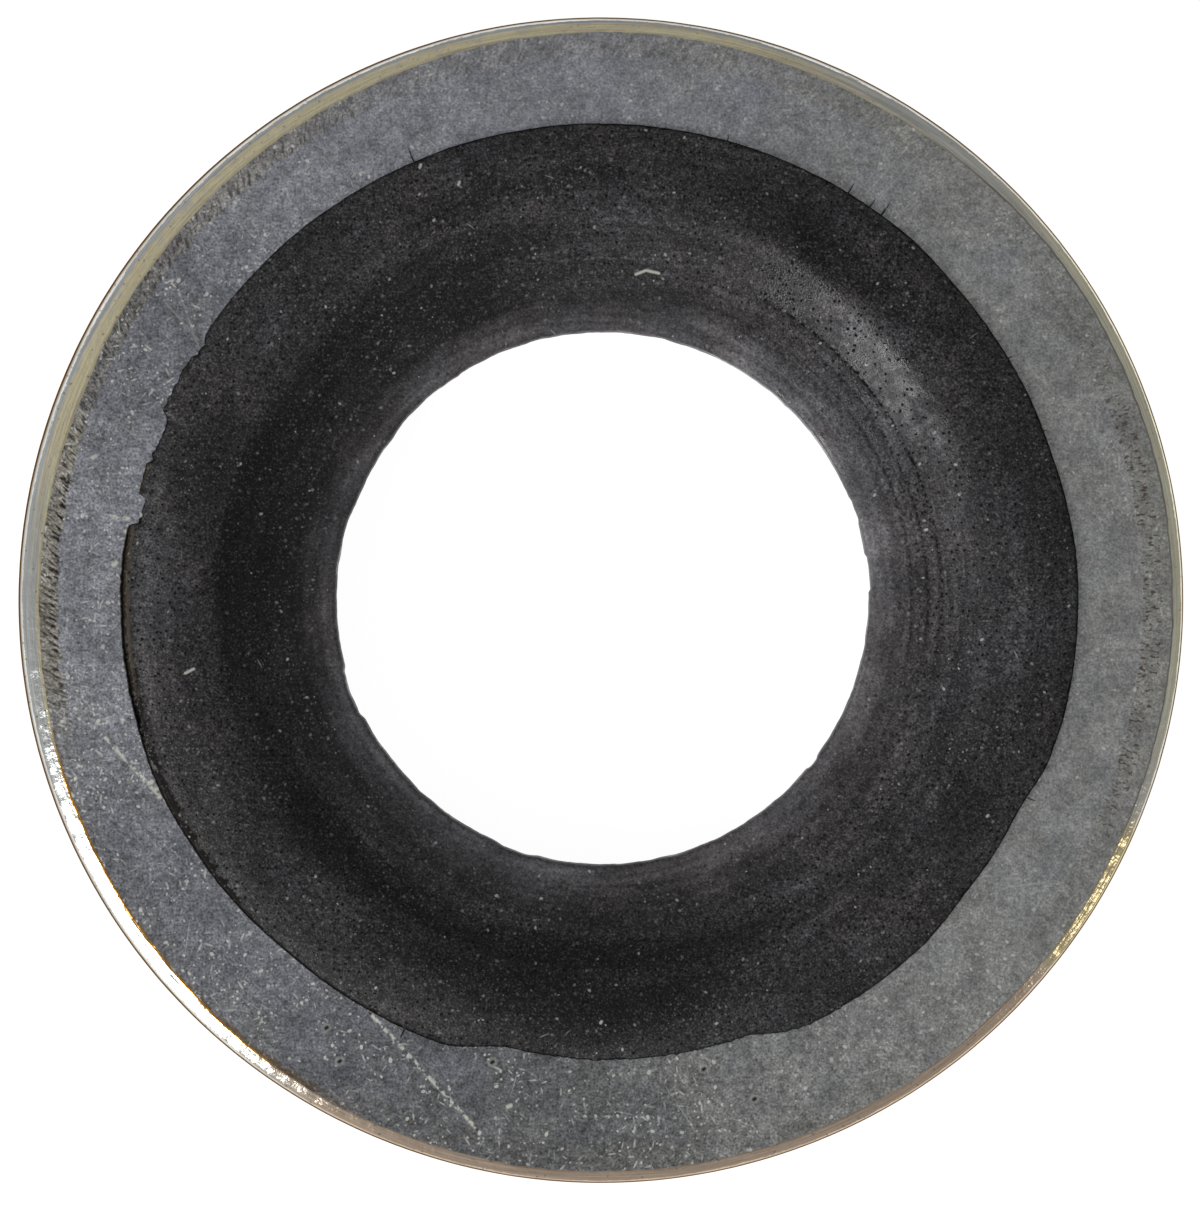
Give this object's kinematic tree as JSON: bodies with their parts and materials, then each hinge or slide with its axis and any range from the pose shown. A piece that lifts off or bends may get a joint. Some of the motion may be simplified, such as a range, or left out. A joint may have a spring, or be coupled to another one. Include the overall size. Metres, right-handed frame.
{
  "type": "bonded sealing washer",
  "caption": "Flat steel ring with a black rubber seal bonded into its hole; seals a threaded drain plug against an oil sump.",
  "frame": {"origin": "centre of the bore at mid thickness", "axes": "+Z along the bore, out of the face whose outer edge is rolled; X and Y across the ring"},
  "size_m": [0.0238, 0.0238, 0.0026],
  "materials": {
    "zinc_plated_steel": "tumbled, dull zinc plate with pits and scratches",
    "black_rubber": "moulded, matt with a dusty bloom"
  },
  "bodies": {
    "root": {"steel_ring": "zinc_plated_steel", "rubber_seal": "black_rubber"}
  },
  "joints": []
}
